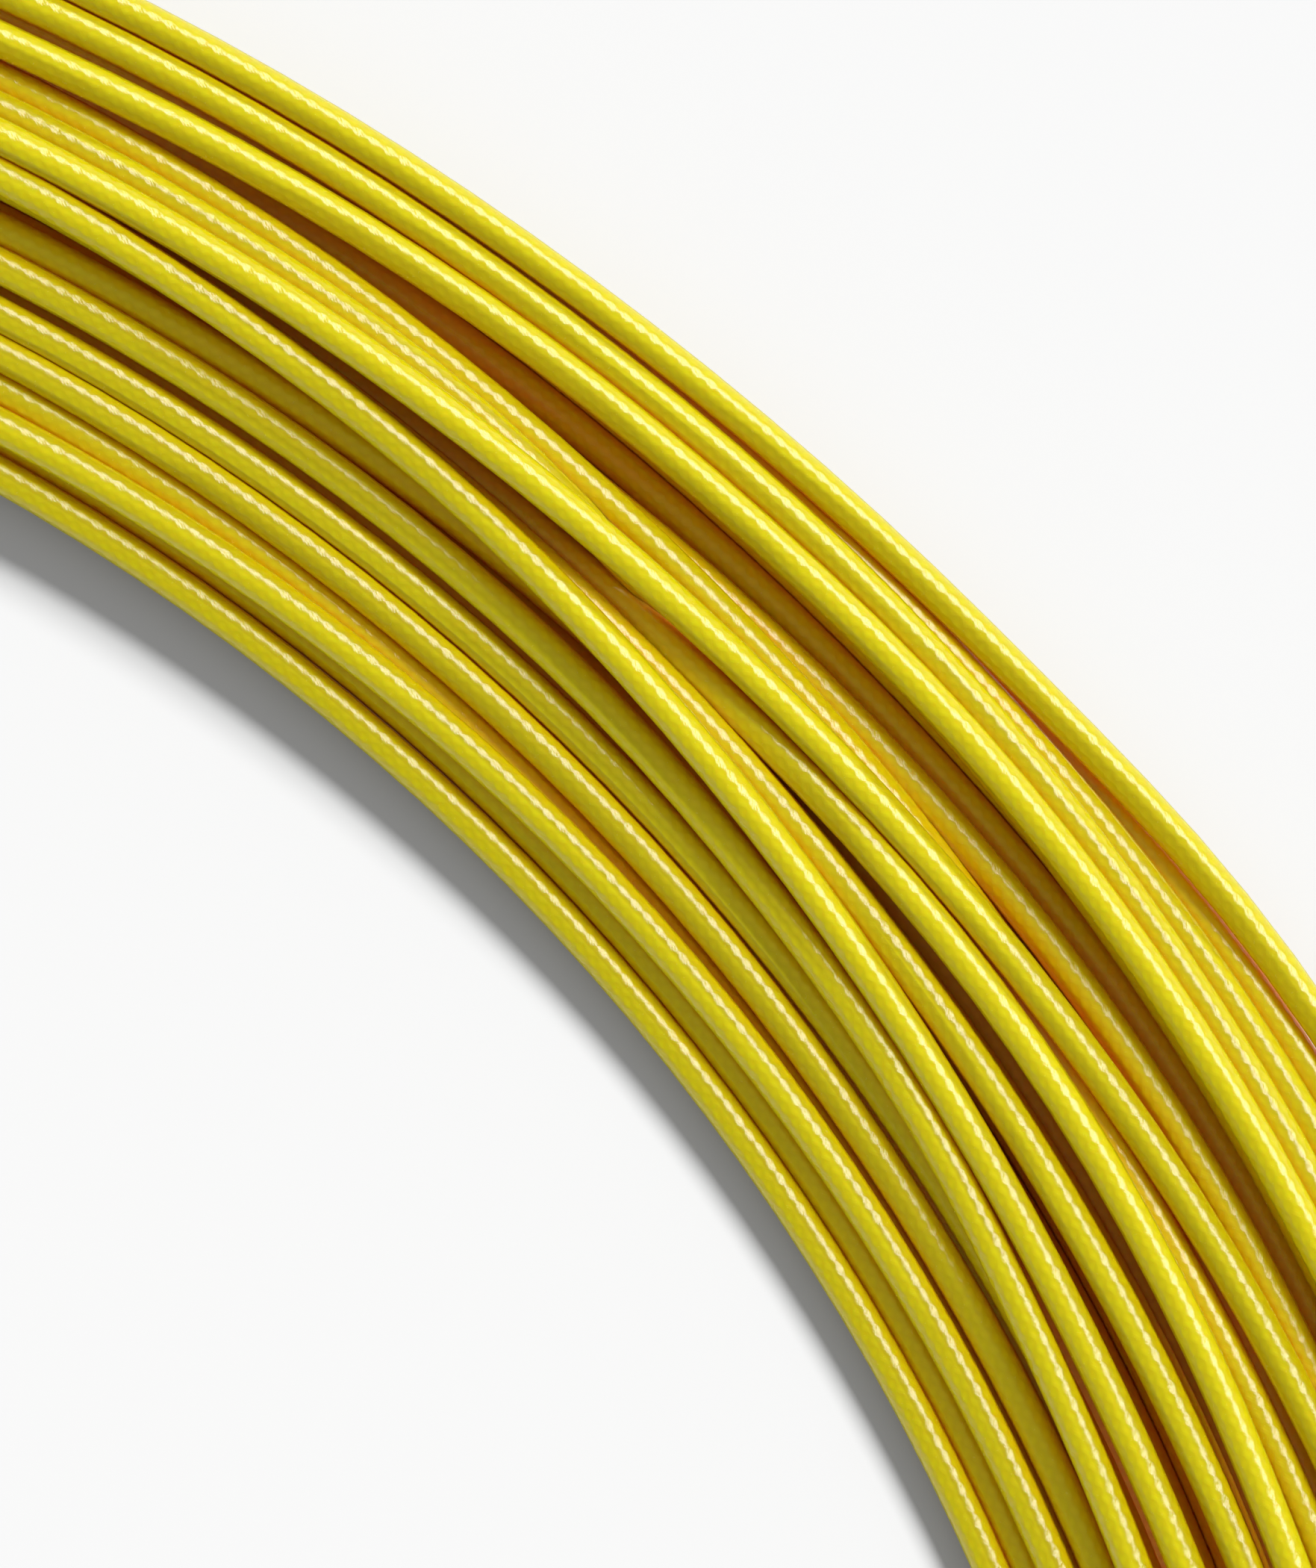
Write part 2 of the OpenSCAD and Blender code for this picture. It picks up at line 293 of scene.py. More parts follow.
free_string = string_material("free_string", False)
free_ends = {}
for name, route, start, way in (("lead", LEAD_ROUTE, COIL_START, -1),
                                ("end", END_ROUTE, COIL_END, 1)):
    points = free_route(route, start, way)
    piece = string_object(name + "_free_string", rounded(points, 4), 14)
    piece.data.materials.append(free_string)
    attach(piece, "coil")
    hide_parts(name + "_tail")
    free_ends[name] = points

# ---- Cut tips of the string ----
# The last 3 mm at each end, cut square: the braided jacket and, showing in it, the core's
# filaments, which are undyed nylon. They are the solids themselves, in better materials.
TIP_LENGTH = 0.003
NYLON, SHADE_BETWEEN_FILAMENTS = (0.86, 0.83, 0.70, 1), (0.52, 0.49, 0.38, 1)


def along_tip(tree, middle, way):
    """Coordinates of a cut tip in metres: Z along it, and X and Y across it, from its middle."""
    place = tree.nodes.new("ShaderNodeTexCoord")
    turned = tree.nodes.new("ShaderNodeMapping")
    turned.vector_type = "TEXTURE"
    turned.inputs["Location"].default_value = middle
    turned.inputs["Rotation"].default_value = Vector(way).to_track_quat("Z", "Y").to_euler()
    tree.links.new(place.outputs["Object"], turned.inputs["Vector"])
    return turned.outputs[0]


for name, points in free_ends.items():
    way = (points[-1] - points[-2]).normalized()
    middle = points[-1] + TIP_LENGTH / 2 * way
    jacket = free_string.copy()
    jacket.name = name + "_tip_braid"
    tree = jacket.node_tree
    split = tree.nodes.new("ShaderNodeSeparateXYZ")
    tree.links.new(along_tip(tree, middle, way), split.inputs[0])
    laid = tree.nodes.new("ShaderNodeCombineXYZ")
    round_it = maths(tree, "ARCTAN2", split.outputs[1], split.outputs[0])
    tree.links.new(maths(tree, "DIVIDE", round_it, 2 * math.pi), laid.inputs[0])
    tree.links.new(maths(tree, "DIVIDE", split.outputs[2], LAY), laid.inputs[1])
    tree.links.new(laid.outputs[0], tree.nodes["weave"].inputs["Laid"])
    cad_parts[name + "_tip_jacket"].material_slots[0].material = jacket
    core = bpy.data.materials.new(name + "_tip_filaments")
    core.use_nodes = True
    tree = core.node_tree
    skin = tree.nodes["Principled BSDF"]
    drawn = tree.nodes.new("ShaderNodeMapping")
    drawn.inputs["Scale"].default_value = (22000, 22000, 300)
    tree.links.new(along_tip(tree, middle, way), drawn.inputs["Vector"])
    threads = tree.nodes.new("ShaderNodeTexVoronoi")
    threads.inputs["Scale"].default_value = 1
    tree.links.new(drawn.outputs[0], threads.inputs["Vector"])
    # painted shade: the colour darkens from each filament's middle into the gaps between filaments
    nylon = mixed_colour(tree, threads.outputs["Distance"], NYLON, SHADE_BETWEEN_FILAMENTS)
    tree.links.new(nylon, skin.inputs["Base Color"])
    tree.links.new(maths(tree, "MULTIPLY_ADD", threads.outputs["Distance"], 0.25, 0.4),
                   skin.inputs["Roughness"])
    ends = tree.nodes.new("ShaderNodeBump")
    ends.invert = True
    ends.inputs["Distance"].default_value = 0.00002
    tree.links.new(threads.outputs["Distance"], ends.inputs["Height"])
    tree.links.new(ends.outputs[0], skin.inputs["Normal"])
    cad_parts[name + "_tip_core"].material_slots[0].material = core

# ---- Wound coil ----
# 31 loops of the same string, wound outwards and inwards over each other without a spool, so
# that they wander, cross and pile up. The two ties gather them into the tallest piles.
LOOPS = 31
STATIONS = 240
SIDES = 12
INNER_EDGE = 0.0454
SETTLING_ROUNDS = 500
# Bearings count up to this one, so that the stretch with the lanes lies in one run of them.
BEARINGS_END = 223
# Bearings over which the lanes below take over the loops, and over which they let them go again.
LANES_FROM, LANES_UNTIL = (4, 18), (67, 84)
# Room inside a tie, as its middle and its half size across the bundle and up, in string widths.
TIE_MIDDLE, TIE_ROOM = (7.71, 4.32), (5.5, 2.82)
INNERMOST, OUTERMOST = 0.48, 15.9
# Lowest and highest middle of a loop where no lane holds it, in string widths by degrees from a
# tie. The highest follow the pile of the solid string_coil.
BED = ((12, 40), (1.55, 0.5))
CREST = ((12, 30, 45, 60, 75, 90), (7.0, 5.9, 5.2, 4.7, 4.0, 3.2))
STIFFNESS, SETTLING_PULL, PARTING_PUSH, CROSSING_LEAN = 0.06, 0.08, 0.6, 0.45
FIRST_BEARING, LAST_BEARING, LANE_STEP = 22.0, 64.0, 6.0
# Each loop in winding order: its height at bearings 22 and 64 degrees, and its place across the
# bundle from the inner edge at 22, 28 and so on to 64 degrees, all in string widths.
LANES = [
    (1.45, 0.50, (15.00, 14.85, 14.47, 13.97, 13.72, 13.60, 13.55, 13.52)),
    (0.50, 0.50, (14.00, 13.80, 13.42, 13.05, 12.80, 12.68, 12.62, 12.60)),
    (0.50, 0.50, (12.80, 12.60, 12.38, 12.10, 11.85, 11.72, 11.68, 11.65)),
    (0.50, 0.50, (11.70, 11.60, 11.45, 11.20, 10.95, 10.80, 10.75, 10.70)),
    (0.50, 0.50, (10.50, 10.45, 10.40, 10.20, 9.95, 9.80, 9.75, 9.75)),
    (1.75, 1.40, (10.90, 10.80, 10.62, 10.28, 9.90, 9.55, 9.35, 9.30)),
    (0.50, 0.50, (9.10, 9.10, 9.05, 8.90, 8.76, 8.73, 8.72, 8.72)),
    (0.50, 0.50, (7.74, 7.74, 7.74, 7.75, 7.76, 7.76, 7.76, 7.76)),
    (0.50, 0.50, (6.77, 6.77, 6.77, 6.79, 6.80, 6.80, 6.80, 6.80)),
    (0.50, 0.50, (5.80, 5.80, 5.80, 5.82, 5.82, 5.82, 5.82, 5.82)),
    (0.50, 0.50, (4.83, 4.83, 4.84, 4.85, 4.85, 4.85, 4.85, 4.85)),
    (0.50, 0.50, (3.86, 3.86, 3.86, 3.87, 3.88, 3.88, 3.88, 3.88)),
    (0.50, 1.00, (2.40, 2.40, 2.42, 2.46, 2.50, 2.52, 2.54, 2.56)),
    (0.50, 0.50, (1.42, 1.42, 1.44, 1.46, 1.48, 1.48, 1.45, 1.40)),
    (0.50, 0.80, (0.48, 0.48, 0.48, 0.48, 0.48, 0.48, 0.48, 0.48)),
    (1.40, 1.50, (2.12, 2.12, 2.11, 2.08, 2.01, 1.87, 1.73, 1.60)),
    (1.30, 1.35, (3.25, 3.25, 3.28, 3.34, 3.38, 3.41, 3.44, 3.47)),
    (1.40, 1.40, (4.37, 4.37, 4.37, 4.38, 4.39, 4.40, 4.40, 4.40)),
    (1.35, 1.35, (7.15, 7.12, 7.05, 6.95, 6.80, 6.65, 6.55, 6.50)),
    (2.50, 1.90, (4.12, 4.40, 4.90, 5.22, 5.49, 5.58, 5.60, 5.60)),
    (2.70, 2.10, (7.02, 6.95, 6.96, 7.00, 7.12, 7.32, 7.55, 7.75)),
    (1.40, 1.85, (9.60, 9.50, 9.47, 9.50, 9.57, 9.78, 10.05, 10.25)),
    (1.60, 2.50, (9.10, 8.95, 8.88, 8.62, 8.62, 9.20, 9.38, 9.48)),
    (3.00, 1.30, (8.22, 8.38, 8.42, 8.20, 7.90, 7.86, 8.05, 8.20)),
    (2.70, 2.90, (5.47, 5.55, 5.83, 6.22, 6.70, 7.20, 7.53, 7.85)),
    (2.60, 3.20, (10.40, 10.03, 9.57, 9.17, 8.88, 8.73, 8.72, 8.78)),
    (1.35, 1.35, (12.40, 12.38, 12.30, 12.20, 12.10, 12.00, 11.92, 11.88)),
    (1.90, 1.50, (14.05, 13.98, 13.80, 13.47, 13.22, 13.10, 13.05, 13.02)),
    (2.30, 2.40, (13.20, 13.20, 13.13, 13.03, 12.85, 12.64, 12.55, 12.50)),
    (1.50, 2.40, (15.90, 15.85, 15.40, 14.53, 14.03, 13.72, 13.58, 13.50)),
    (2.70, 2.60, (12.48, 12.48, 12.42, 12.25, 11.93, 11.70, 11.46, 11.25)),
]
# Loops, by their row above from 0, that lie under others and may shift sideways more freely.
UNDERNEATH = (1, 2, 3, 4, 6, 7, 8, 9, 10, 11, 18, 26)


def eased(low, high, value):
    """Share of the way from low to high, which starts and ends softly."""
    share = np.clip((value - low) / (high - low), 0, 1)
    return share * share * (3 - 2 * share)


def lane_course(bearing):
    """Place of every loop across the bundle at each bearing, from LANES."""
    known = np.arange(FIRST_BEARING, LAST_BEARING + 1, LANE_STEP)
    lanes = np.array([row[2] for row in LANES])
    slope = np.gradient(lanes, known, axis=1)
    at = np.clip(bearing, known[0], known[-1])
    i = np.clip(((at - known[0]) // LANE_STEP).astype(int), 0, len(known) - 2)
    s = (at - known[i]) / LANE_STEP
    return ((2 * s ** 3 - 3 * s ** 2 + 1) * lanes[:, i]
            + (s ** 3 - 2 * s ** 2 + s) * LANE_STEP * slope[:, i]
            + (3 * s ** 2 - 2 * s ** 3) * lanes[:, i + 1]
            + (s ** 3 - s ** 2) * LANE_STEP * slope[:, i + 1])


def wind_and_settle(rounds):
    """Lays the loops down, lets them sink, part and straighten, and gathers them at the ties.
    Gives the place across the bundle and the height, in string widths, loop by station."""
    part = np.arange(STATIONS) / STATIONS
    bearing = np.mod(TIE_BEARING + 360 * part, 360)
    bearing = np.where(bearing > BEARINGS_END, bearing - 360, bearing)
    from_tie = np.minimum(np.abs((bearing - TIE_BEARING + 180) % 360 - 180),
                          np.abs((bearing - TIE_BEARING) % 360 - 180))
    seed = np.random.default_rng(3)
    lanes = np.array([row[2] for row in LANES])
    levels = np.array([row[:2] for row in LANES])
    layers = levels.mean(axis=1) - 0.5

    def passed_on(values):
        before = np.append(values[0], values[:-1])[:, None]
        after = np.append(values[1:], values[-1])[:, None]
        here = values[:, None]
        return np.where(part < 0.5,
                        (before + here) / 2 + (here - before) / 2 * eased(0, 0.16, part),
                        here + (after - here) / 2 * eased(0.84, 1, part))

    # out of the lanes' stretch each loop wanders on its own, drawn in a little by the ties
    natural = passed_on(lanes.mean(axis=1))
    turned = np.arange(LOOPS)[:, None] + part
    for rate, reach in ((1.37, 0.5), (2.61, 0.4), (4.3, 0.2)):
        natural = natural + reach * np.sin(2 * math.pi * (rate * turned + seed.uniform()))
    for waves in (2, 3, 5):
        phase = seed.uniform(0, 2 * math.pi, LOOPS)[:, None]
        reach = seed.normal(0, 0.55 / math.sqrt(waves), LOOPS)[:, None]
        natural = natural + (reach * np.sin(math.pi * part) ** 0.5
                             * np.cos(waves * 2 * math.pi * part + phase))
    gathered = 1 - eased(9, 45, from_tie)
    natural = 7.7 + (natural - 7.3) * (1 - 0.22 * gathered)
    held = eased(*LANES_FROM, bearing) * (1 - eased(*LANES_UNTIL, bearing))
    course = lane_course(bearing)
    across = held * course + (1 - held) * natural
    rise = passed_on(layers / layers.max())
    bed = np.interp(from_tie, *BED)
    crest = np.interp(from_tie, *CREST)
    lying = levels[:, :1] + (levels[:, 1:] - levels[:, :1]) * eased(26, 60, bearing)
    lying = held * lying + (1 - held) * (bed + rise * (crest - bed))
    height = lying.copy()
    # middles come this far apart, and further inside the ties, which the loops fill
    width = 0.995 + 0.265 * (1 - eased(6, 20, from_tie))
    inside_tie = 1 - eased(8.5, 16, from_tie)

    # the free ends share the tie with the loops
    reach = math.hypot(COIL_START.x, COIL_START.y)
    edge = (reach - INNER_EDGE) / GAUGE
    far_off = 500
    guests = []
    for name, way in (("lead", -1), ("end", 1)):
        line = np.array([tuple(p) for p in free_ends[name]])
        line = np.concatenate([line, [2 * line[-1] - line[-2]]])
        passed = way * (np.degrees(np.arctan2(line[:, 1], line[:, 0])) - TIE_BEARING) % 360
        passed[0] = 0
        at = way * (bearing - TIE_BEARING) % 360
        beside = at <= passed[-1]
        outward = (np.hypot(line[:, 0], line[:, 1]) - INNER_EDGE) / GAUGE
        guests.append((np.where(beside, np.interp(at, passed, outward), far_off),
                       np.where(beside, np.interp(at, passed, line[:, 2] / GAUGE), far_off)))
    guests[0][0][0] = far_off
    guest_across = np.array([guest[0] for guest in guests])
    guest_height = np.array([guest[1] for guest in guests])

    loose = np.isin(np.arange(LOOPS), UNDERNEATH)[:, None]
    grip = held * np.where(loose, 0.03, 1.0)
    fixed = held * ~loose
    order = np.concatenate([np.arange(LOOPS), [LOOPS, LOOPS]])
    later = np.sign(order[:, None] - order[None, :])[:, :, None]
    later[LOOPS:] = 0
    later[:, LOOPS:] = 0
    alone = np.arange(LOOPS + 2)

    def straightened(values, first, last):
        line = values.reshape(-1)
        for _ in range(3):
            g = np.concatenate([[first, first], line, [last, last]])
            line = line - STIFFNESS * (g[:-4] - 4 * g[1:-3] + 6 * g[2:-2] - 4 * g[3:-1] + g[4:])
        return line.reshape(values.shape)

    for step in range(rounds):
        across += grip * (course - across)
        height += SETTLING_PULL * min(1, 6 - 6 * step / rounds) * (lying - height)
        across = straightened(across, edge, edge)
        height = straightened(height, COIL_START.z / GAUGE, COIL_END.z / GAUGE)
        for _ in range(2):
            a = np.concatenate([across, guest_across])
            h = np.concatenate([height, guest_height])
            da, dh = a[:, None] - a[None, :], h[:, None] - h[None, :]
            # a later loop is pushed over an earlier one, never through it
            lean = dh + CROSSING_LEAN * np.clip(1 - np.abs(da), 0, 1) * later
            size = np.sqrt(da * da + lean * lean) + 1e-6
            na, nh = da / size, lean / size
            short = width - (da * na + dh * nh)
            apart = np.sqrt(da * da + dh * dh)
            # pairs that have gone through each other
            wrong = (nh * dh < 0) & (np.abs(da) < 0.6) & (apart < 1.6)
            push = np.where((short > 0) & ((apart < width) | wrong), short, 0) / 2
            push[alone, alone] = 0
            across += PARTING_PUSH * (push * na).sum(axis=1)[:LOOPS] * (1 - 0.999 * fixed)
            height += PARTING_PUSH * (push * nh).sum(axis=1)[:LOOPS] * (1 + 0.6 * fixed)
        height = np.maximum(height, bed)
        out = (np.abs((across - TIE_MIDDLE[0]) / TIE_ROOM[0]) ** 6
               + np.abs((height - TIE_MIDDLE[1]) / TIE_ROOM[1]) ** 6)
        squeeze = np.where(out > 1, np.maximum(out, 1e-9) ** (-1 / 6), 1) - 1
        across = across + inside_tie * (across - TIE_MIDDLE[0]) * squeeze
        height = height + inside_tie * (height - TIE_MIDDLE[1]) * squeeze
        across = np.clip(across, INNERMOST, OUTERMOST)
        across[0, :2], height[0, :2] = edge, COIL_START.z / GAUGE
        across[-1, -1], height[-1, -1] = edge, COIL_END.z / GAUGE
    return across, height


across, height = wind_and_settle(SETTLING_ROUNDS)
turned = math.radians(TIE_BEARING) + 2 * math.pi * np.arange(LOOPS * STATIONS) / STATIONS
r = INNER_EDGE + GAUGE * across.reshape(-1)
wound = np.stack([r * np.cos(turned), r * np.sin(turned), GAUGE * height.reshape(-1)], -1)
wound = np.concatenate([[COIL_START], wound[1:], [COIL_END]])
coil = string_object("wound_string", wound, SIDES)


def openness(across, height, sides):
    """Share of the sky above each point of the string's skin that no other loop hides."""
    a, h = across.T, height.T
    turn = np.arange(sides) * 2 * math.pi / sides
    # turns run from the outer side over the top, as the skin's points do
    px = a[:, :, None] + 0.505 * np.cos(turn)
    py = h[:, :, None] + 0.505 * np.sin(turn)
    seen = np.zeros(px.shape)
    total = np.zeros(px.shape)
    for angle in np.radians(np.arange(7.5, 180, 15)):
        dx, dy = math.cos(angle), math.sin(angle)
        facing = np.maximum(np.cos(turn) * dx + np.sin(turn) * dy, 0)[None, None, :] + 0.04
        clear = np.ones(px.shape, bool)
        for other in range(LOOPS):
            ox, oy = a[:, other, None, None] - px, h[:, other, None, None] - py
            ahead = ox * dx + oy * dy
            aside = np.abs(ox * dy - oy * dx)
            clear &= ~((ahead > 0) & (aside < 0.5))
        seen += clear * facing
        total += facing
    return (seen / total).transpose(1, 0, 2)


shares = openness(across, height, SIDES).reshape(-1, SIDES)
shares = np.concatenate([shares, shares[-1:]])
reach = coil.data.attributes.new("openness", "FLOAT", "POINT")
reach.data.foreach_set("value", shares.reshape(-1).astype(np.float32))
# the coil's material paints shade and light into its colour from the openness attribute
coil.data.materials.append(string_material("wound_string", True))
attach(coil, "coil")
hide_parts("string_coil")

# ---- Twist ties ----
# White plastic ribbons, 3.2 mm wide, laminated over a soft steel wire. Each goes once round the
# bundle. Its two ends turn outwards, are twisted together and are cut off square.
TIE_REACH, TIE_WIDTH, TIE_HEIGHT, TIE_CORNER = 0.0507978, 0.0098443, 0.00605, 0.0013
RIBBON_WIDTH, RIBBON_THICKNESS, RIBBON_EDGE = 0.0032, 0.0003, 0.00007
WIRE_RADIUS, WIRE_SLEEVE, WIRE_DEPTH, WIRES_APART = 0.000225, 0.000325, 0.000355, 0.0006
ROOT_BEND = 0.00045
TWISTED_LENGTH, TWIST_TURNS = 0.01, 2.5
WIRE_END = 0.00003
CRINKLE_DEPTH, LINE_DEPTH, SCALE_DEPTH = 0.00005, 0.00002, 0.00001
PLASTIC_WHITE, PRESSED_WHITE = (0.88, 0.88, 0.85, 1), (0.74, 0.74, 0.70, 1)
BARE_STEEL, SCALED_STEEL = (0.56, 0.57, 0.58, 1), (0.34, 0.33, 0.32, 1)


def tie_course(tail):
    """Middle of a tie's wire from one cut end to the other, and the ways in which the ribbon's
    outer face and its width lie there, as outwards, along the bundle and up from its middle."""
    wall, top = TIE_WIDTH / 2 - WIRE_DEPTH, TIE_HEIGHT / 2 - WIRE_DEPTH
    bend = TIE_CORNER - WIRE_DEPTH
    centres, outer = [], []

    def arc(x, z, radius, first, last, way):
        for angle in np.radians(np.linspace(first, last, 9)):
            centres.append((x + radius * math.cos(angle), 0, z + radius * math.sin(angle)))
            outer.append((way * math.cos(angle), 0, way * math.sin(angle)))

    arc(wall + ROOT_BEND, WIRES_APART / 2 + ROOT_BEND, ROOT_BEND, 270, 180, -1)
    for x, z, first in ((wall - bend, top - bend, 0), (bend - wall, top - bend, 90),
                        (bend - wall, bend - top, 180), (wall - bend, bend - top, 270)):
        arc(x, z, bend, first, first + 90, 1)
    arc(wall + ROOT_BEND, -WIRES_APART / 2 - ROOT_BEND, ROOT_BEND, 180, 90, -1)
    across = [(0, 1, 0)] * len(centres)
    root = wall + ROOT_BEND
    end = TIE_WIDTH / 2 + tail
    share = (np.linspace(root, end, 121)[1:] - root) / (end - root)
    # the twist starts softly at the root
    twist = 2 * math.pi * TWIST_TURNS * (share + 0.03 * (np.exp(-share / 0.03) - 1))
    zero = np.zeros(len(share))
    up = np.stack([zero, -np.sin(twist), np.cos(twist)], 1)
    side = np.stack([zero, np.cos(twist), np.sin(twist)], 1)
    onward = np.stack([root + share * (end - root), zero, zero], 1)
    centres = np.concatenate([(onward + WIRES_APART / 2 * up)[::-1], centres,
                              onward - WIRES_APART / 2 * up])
    return (centres, np.concatenate([up[::-1], outer, -up]),
            np.concatenate([side[::-1], across, side]))


def along_tie(name, number, section, tail):
    """A section, as points across and out of the ribbon, drawn along the whole course of a tie.
    Its UV map runs along the course and across the ribbon, in metres."""
    centres, outer, across = tie_course(tail)
    section = np.array(section)
    skin = (centres[:, None, :] + section[None, :, :1] * across[:, None, :]
            + section[None, :, 1:] * outer[:, None, :])
    bearing = math.radians(TIE_BEARING + 180 * (number - 1))
    out = Vector((math.cos(bearing), math.sin(bearing), 0))
    along = Vector((-math.sin(bearing), math.cos(bearing), 0))
    count, points = skin.shape[:2]
    placed = [out * (TIE_REACH + x) + along * y + Vector((0, 0, TIE_HEIGHT / 2 + z))
              for x, y, z in skin.reshape(-1, 3).tolist()]
    faces = [(i * points + k, i * points + (k + 1) % points,
              (i + 1) * points + (k + 1) % points, (i + 1) * points + k)
             for i in range(count - 1) for k in range(points)]
    faces += [tuple(range(points))[::-1], tuple(range((count - 1) * points, count * points))]
    mesh = bpy.data.meshes.new(name)
    mesh.from_pydata(placed, [], faces)
    far = np.append(0, np.cumsum(np.linalg.norm(np.diff(centres, axis=0), axis=1)))
    corners = np.zeros(len(mesh.loops), int)
    mesh.loops.foreach_get("vertex_index", corners)
    uv = np.stack([far[corners // points], section[corners % points, 0]], 1)
    mesh.uv_layers.new(name="laid").data.foreach_set("uv", uv.reshape(-1))
    piece = bpy.data.objects.new(name, mesh)
    bpy.context.scene.collection.objects.link(piece)
    bpy.ops.object.select_all(action="DESELECT")
    bpy.context.view_layer.objects.active = piece
    piece.select_set(True)
    bpy.ops.object.mode_set(mode="EDIT")
    bpy.ops.mesh.select_all(action="SELECT")
    bpy.ops.mesh.normals_make_consistent(inside=False)
    bpy.ops.object.mode_set(mode="OBJECT")
    bpy.ops.object.shade_smooth_by_angle(angle=math.radians(40))
    return piece


half, inner = RIBBON_WIDTH / 2, WIRE_DEPTH - RIBBON_THICKNESS
leaves = math.asin(inner / WIRE_SLEEVE)
sleeve = [(WIRE_SLEEVE * math.cos(a), WIRE_SLEEVE * math.sin(a))
          for a in np.linspace(leaves, -math.pi - leaves, 11)]
ribbon_section = [(-half, WIRE_DEPTH - RIBBON_EDGE), (RIBBON_EDGE - half, WIRE_DEPTH),
                  (half - RIBBON_EDGE, WIRE_DEPTH), (half, WIRE_DEPTH - RIBBON_EDGE),
                  (half, inner + RIBBON_EDGE), (half - RIBBON_EDGE, inner), *sleeve,
                  (RIBBON_EDGE - half, inner), (-half, inner + RIBBON_EDGE)]
wire_section = [(WIRE_RADIUS * math.cos(a), WIRE_RADIUS * math.sin(a))
                for a in np.arange(12) * math.pi / 6]

ribbon = bpy.data.materials.new("tie_ribbon_plastic")
ribbon.use_nodes = True
tree = ribbon.node_tree
skin = tree.nodes["Principled BSDF"]
place = tree.nodes.new("ShaderNodeTexCoord").outputs["Object"]
laid = tree.nodes.new("ShaderNodeUVMap")
laid.uv_map = "laid"
lines = tree.nodes.new("ShaderNodeMapping")
lines.inputs["Scale"].default_value = (60, 5200, 1)
tree.links.new(laid.outputs[0], lines.inputs["Vector"])
pressed = noise(tree, lines.outputs[0], 1, 3)
crinkle = noise(tree, place, 1400, 4)
handled = noise(tree, place, 350, 2)
white = mixed_colour(tree, maths(tree, "MULTIPLY", pressed, handled), PLASTIC_WHITE, PRESSED_WHITE)
tree.links.new(white, skin.inputs["Base Color"])
tree.links.new(maths(tree, "MULTIPLY_ADD", crinkle, 0.3, 0.3), skin.inputs["Roughness"])
skin.inputs["Subsurface Weight"].default_value = 0.4
skin.inputs["Subsurface Radius"].default_value = (1.0, 1.0, 1.0)
skin.inputs["Subsurface Scale"].default_value = RIBBON_THICKNESS
tree.links.new(bumped(tree, ((crinkle, CRINKLE_DEPTH), (pressed, LINE_DEPTH))),
               skin.inputs["Normal"])
wire = bpy.data.materials.new("tie_wire_steel")
wire.use_nodes = True
tree = wire.node_tree
skin = tree.nodes["Principled BSDF"]
skin.inputs["Metallic"].default_value = 1.0
place = tree.nodes.new("ShaderNodeTexCoord").outputs["Object"]
scale = noise(tree, place, 2500, 4)
tree.links.new(mixed_colour(tree, scale, BARE_STEEL, SCALED_STEEL), skin.inputs["Base Color"])
tree.links.new(maths(tree, "MULTIPLY_ADD", scale, 0.3, 0.3), skin.inputs["Roughness"])
tree.links.new(bumped(tree, ((scale, SCALE_DEPTH),)), skin.inputs["Normal"])
for number in (1, 2):
    body = f"tie_{number}"
    for name, section, shine, slot, stands_for, tail in (
            ("ribbon", ribbon_section, ribbon, "tie_ribbon", "strip", TWISTED_LENGTH),
            ("core_wire", wire_section, wire, "tie_wire", "wire", TWISTED_LENGTH + WIRE_END)):
        piece = along_tie(f"{body}_{name}", number, section, tail)
        piece.data.materials.append(shine)
        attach(piece, body)
        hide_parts(f"{body}_{stands_for}")

# ---- Floor and light ----
# A white table with a low sun of its own, which throws the coil's shadow on it. The coil is lit
# by a long softbox, and evenly from all round.
TABLE_GREY, TABLE_GLOW = (0.3, 0.3, 0.3, 1), 0.06
SUN_BEARING, SUN_HEIGHT, SUN_SPREAD, SUN_STRENGTH = 85, 28.5, 12, 15.2
SOFTBOX_BEARING, SOFTBOX_HEIGHT, SOFTBOX_AWAY = math.radians(43), math.radians(45), 0.5
SOFTBOX_LENGTH, SOFTBOX_WIDTH, SOFTBOX_POWER = 0.53, 0.12, 1.95
bpy.ops.object.select_all(action="DESELECT")
bpy.ops.mesh.primitive_plane_add(size=3, location=(0, 0, 0))
table = bpy.context.object
table.name = "table"
paper = bpy.data.materials.new("table")
paper.use_nodes = True
tree = paper.node_tree
skin = tree.nodes["Principled BSDF"]
skin.inputs["Base Color"].default_value = TABLE_GREY
skin.inputs["Roughness"].default_value = 0.9
skin.inputs["Specular IOR Level"].default_value = 0.0
skin.inputs["Emission Color"].default_value = (1, 1, 1, 1)
looked_at = tree.nodes.new("ShaderNodeLightPath").outputs["Is Camera Ray"]
tree.links.new(maths(tree, "MULTIPLY", looked_at, TABLE_GLOW), skin.inputs["Emission Strength"])
table.data.materials.append(paper)
bpy.ops.object.light_add(type="SUN", location=(0, 0.3, 0.3))
sun = bpy.context.object
sun.name = "table_lamp"
sun.rotation_euler = (math.radians(90 - SUN_HEIGHT), 0, math.radians(SUN_BEARING + 90))
sun.data.energy = SUN_STRENGTH
sun.data.angle = math.radians(SUN_SPREAD)
lit_by_sun = bpy.data.collections.new("lit_by_table_lamp")
lit_by_sun.objects.link(table)
sun.light_linking.receiver_collection = lit_by_sun
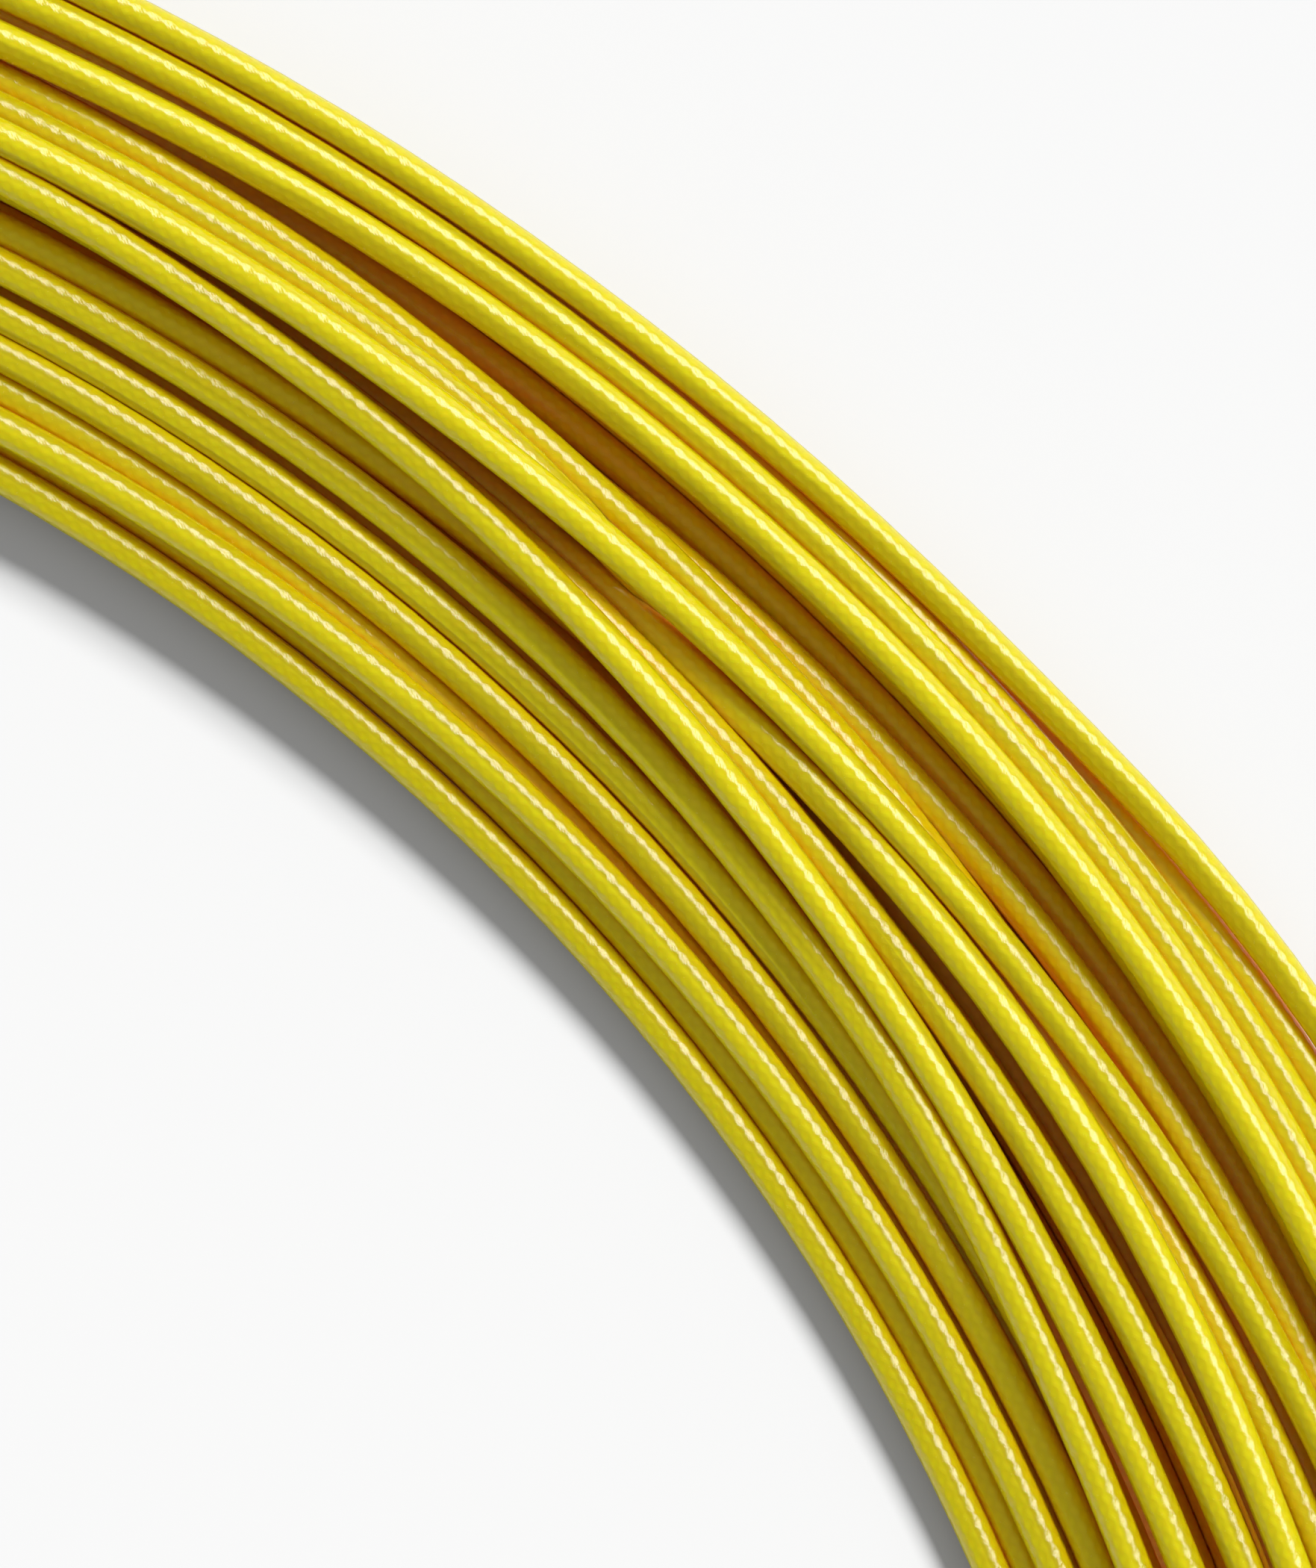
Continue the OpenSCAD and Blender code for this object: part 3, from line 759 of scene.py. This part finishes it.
toward = Vector((math.cos(SOFTBOX_BEARING) * math.cos(SOFTBOX_HEIGHT),
                 math.sin(SOFTBOX_BEARING) * math.cos(SOFTBOX_HEIGHT), math.sin(SOFTBOX_HEIGHT)))
bpy.ops.object.light_add(type="AREA", location=WATCHED + SOFTBOX_AWAY * toward)
softbox = bpy.context.object
softbox.name = "softbox"
softbox.rotation_euler = (math.pi / 2 - SOFTBOX_HEIGHT, 0, SOFTBOX_BEARING + math.pi / 2)
softbox.data.shape = "RECTANGLE"
softbox.data.size = SOFTBOX_LENGTH
softbox.data.size_y = SOFTBOX_WIDTH
softbox.data.energy = SOFTBOX_POWER
all_but_table = bpy.data.collections.new("lit_by_softbox")
all_but_table.objects.link(table)
all_but_table.collection_objects[0].light_linking.link_state = "EXCLUDE"
softbox.light_linking.receiver_collection = all_but_table
world = bpy.data.worlds.new("studio")
bpy.context.scene.world = world
world.use_nodes = True
tree = world.node_tree
sky = tree.nodes["Background"]
sky.inputs["Color"].default_value = (1, 1, 1, 1)
ray = tree.nodes.new("ShaderNodeLightPath")
facing = tree.nodes.new("ShaderNodeTexCoord")
ways = tree.nodes.new("ShaderNodeSeparateXYZ")
tree.links.new(facing.outputs["Generated"], ways.inputs[0])
# mirrored rays see a room that is dimmer than the white one, and darkest overhead
walls = maths(tree, "MAXIMUM", maths(tree, "MULTIPLY_ADD", ways.outputs[2], -0.6, 0.4), 0.03)
mirrored = maths(tree, "MULTIPLY", ray.outputs["Is Glossy Ray"], walls)
direct = maths(tree, "MAXIMUM", ray.outputs["Is Camera Ray"], ray.outputs["Is Transmission Ray"])
# the room is brighter on the softbox's side
room = maths(tree, "MULTIPLY_ADD", ways.outputs[0], 0.15,
             maths(tree, "MULTIPLY_ADD", ways.outputs[1], 0.14, 0.66))
lit = maths(tree, "MAXIMUM", direct, room)
unmirrored = maths(tree, "SUBTRACT", 1.0, ray.outputs["Is Glossy Ray"])
tree.links.new(maths(tree, "MULTIPLY_ADD", lit, unmirrored, mirrored), sky.inputs["Strength"])
bpy.context.scene.view_settings.view_transform = "Standard"
